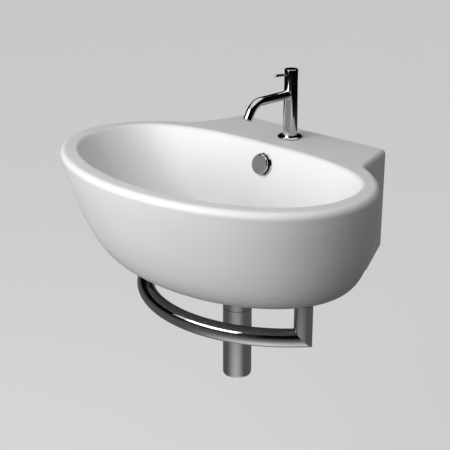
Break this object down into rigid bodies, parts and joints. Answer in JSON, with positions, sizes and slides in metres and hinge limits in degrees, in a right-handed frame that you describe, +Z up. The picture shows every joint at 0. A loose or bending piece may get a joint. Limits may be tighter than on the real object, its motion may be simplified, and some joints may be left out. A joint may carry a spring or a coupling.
{
  "type": "hand basin",
  "caption": "Wall-hung oval ceramic hand basin with tap deck, pin-lever mixer tap, overflow, pop-up waste, chrome bottle trap and bowed front towel rail.",
  "frame": {"origin": "midway between the two wall-fixing holes, on the wall plane", "axes": "+X to the right along the wall seen from the front, +Y into the wall, +Z up"},
  "size_m": [0.5996, 0.4685, 0.5245],
  "materials": {
    "ceramic": "glossy white glaze",
    "chrome": "polished chrome plate",
    "rubber": "matt black rubber",
    "brass": "machined brass",
    "steel": "bright stainless steel",
    "plastic": "moulded engineering plastic"
  },
  "bodies": {
    "basin": {"basin_bowl": "ceramic", "basin_skirt": "ceramic", "basin_base": "ceramic", "basin_block": "ceramic", "basin_deck": "ceramic", "basin_duct": "ceramic", "overflow_ring": "chrome", "overflow_cap": "chrome", "waste_body": "chrome", "tap_body": "chrome", "tap_flange": "chrome", "tap_spout": "chrome", "trap_coupling_nut": "chrome", "trap_inlet_tube": "chrome", "trap_neck_nut": "chrome", "trap_body": "chrome", "trap_cup": "chrome", "trap_outlet_nut": "chrome", "trap_outlet_pipe": "chrome", "wall_rosette": "chrome", "towel_rail": "chrome", "waste_backnut": "chrome", "waste_top_seal": "rubber", "waste_under_seal": "rubber", "tap_base_seal": "rubber", "clamp_gasket": "rubber", "trap_coupling_seal": "rubber", "trap_neck_seal": "rubber", "trap_cup_seal": "rubber", "trap_outlet_seal": "rubber", "rail_gaskets": "rubber", "hot_inlet_socket": "brass", "cold_inlet_socket": "brass", "tap_shank": "brass", "clamp_nut": "brass", "cartridge_nut": "brass", "rail_inserts": "brass", "clamp_washer": "steel", "plug_spring": "steel", "rail_studs": "steel", "tap_cartridge": "plastic", "plug_guide": "plastic", "aerator": "plastic", "rail_end_plugs": "plastic"},
    "handle": {"tap_cap": "chrome", "tap_spindle": "brass", "lever_pin": "steel", "cap_screw": "steel"},
    "lever": {"tap_lever": "chrome"},
    "plug": {"waste_plug": "chrome", "plug_stem": "steel", "plug_seal": "rubber"}
  },
  "joints": [
    {"name": "handle_turn", "type": "hinge", "parent": "basin", "child": "handle", "pos_m": [0, -0.052, 0.17], "axis": [0, 0, 1], "range_deg": [-45, 45]},
    {"name": "lever_lift", "type": "hinge", "parent": "handle", "child": "lever", "pos_m": [0, -0.052, 0.1795], "axis": [-1, 0, 0], "range_deg": [0, 16]},
    {"name": "plug_rise", "type": "slide", "parent": "basin", "child": "plug", "axis": [0, 0, 1], "range_m": [0, 0.009], "deforming": ["plug_spring"]}
  ]
}
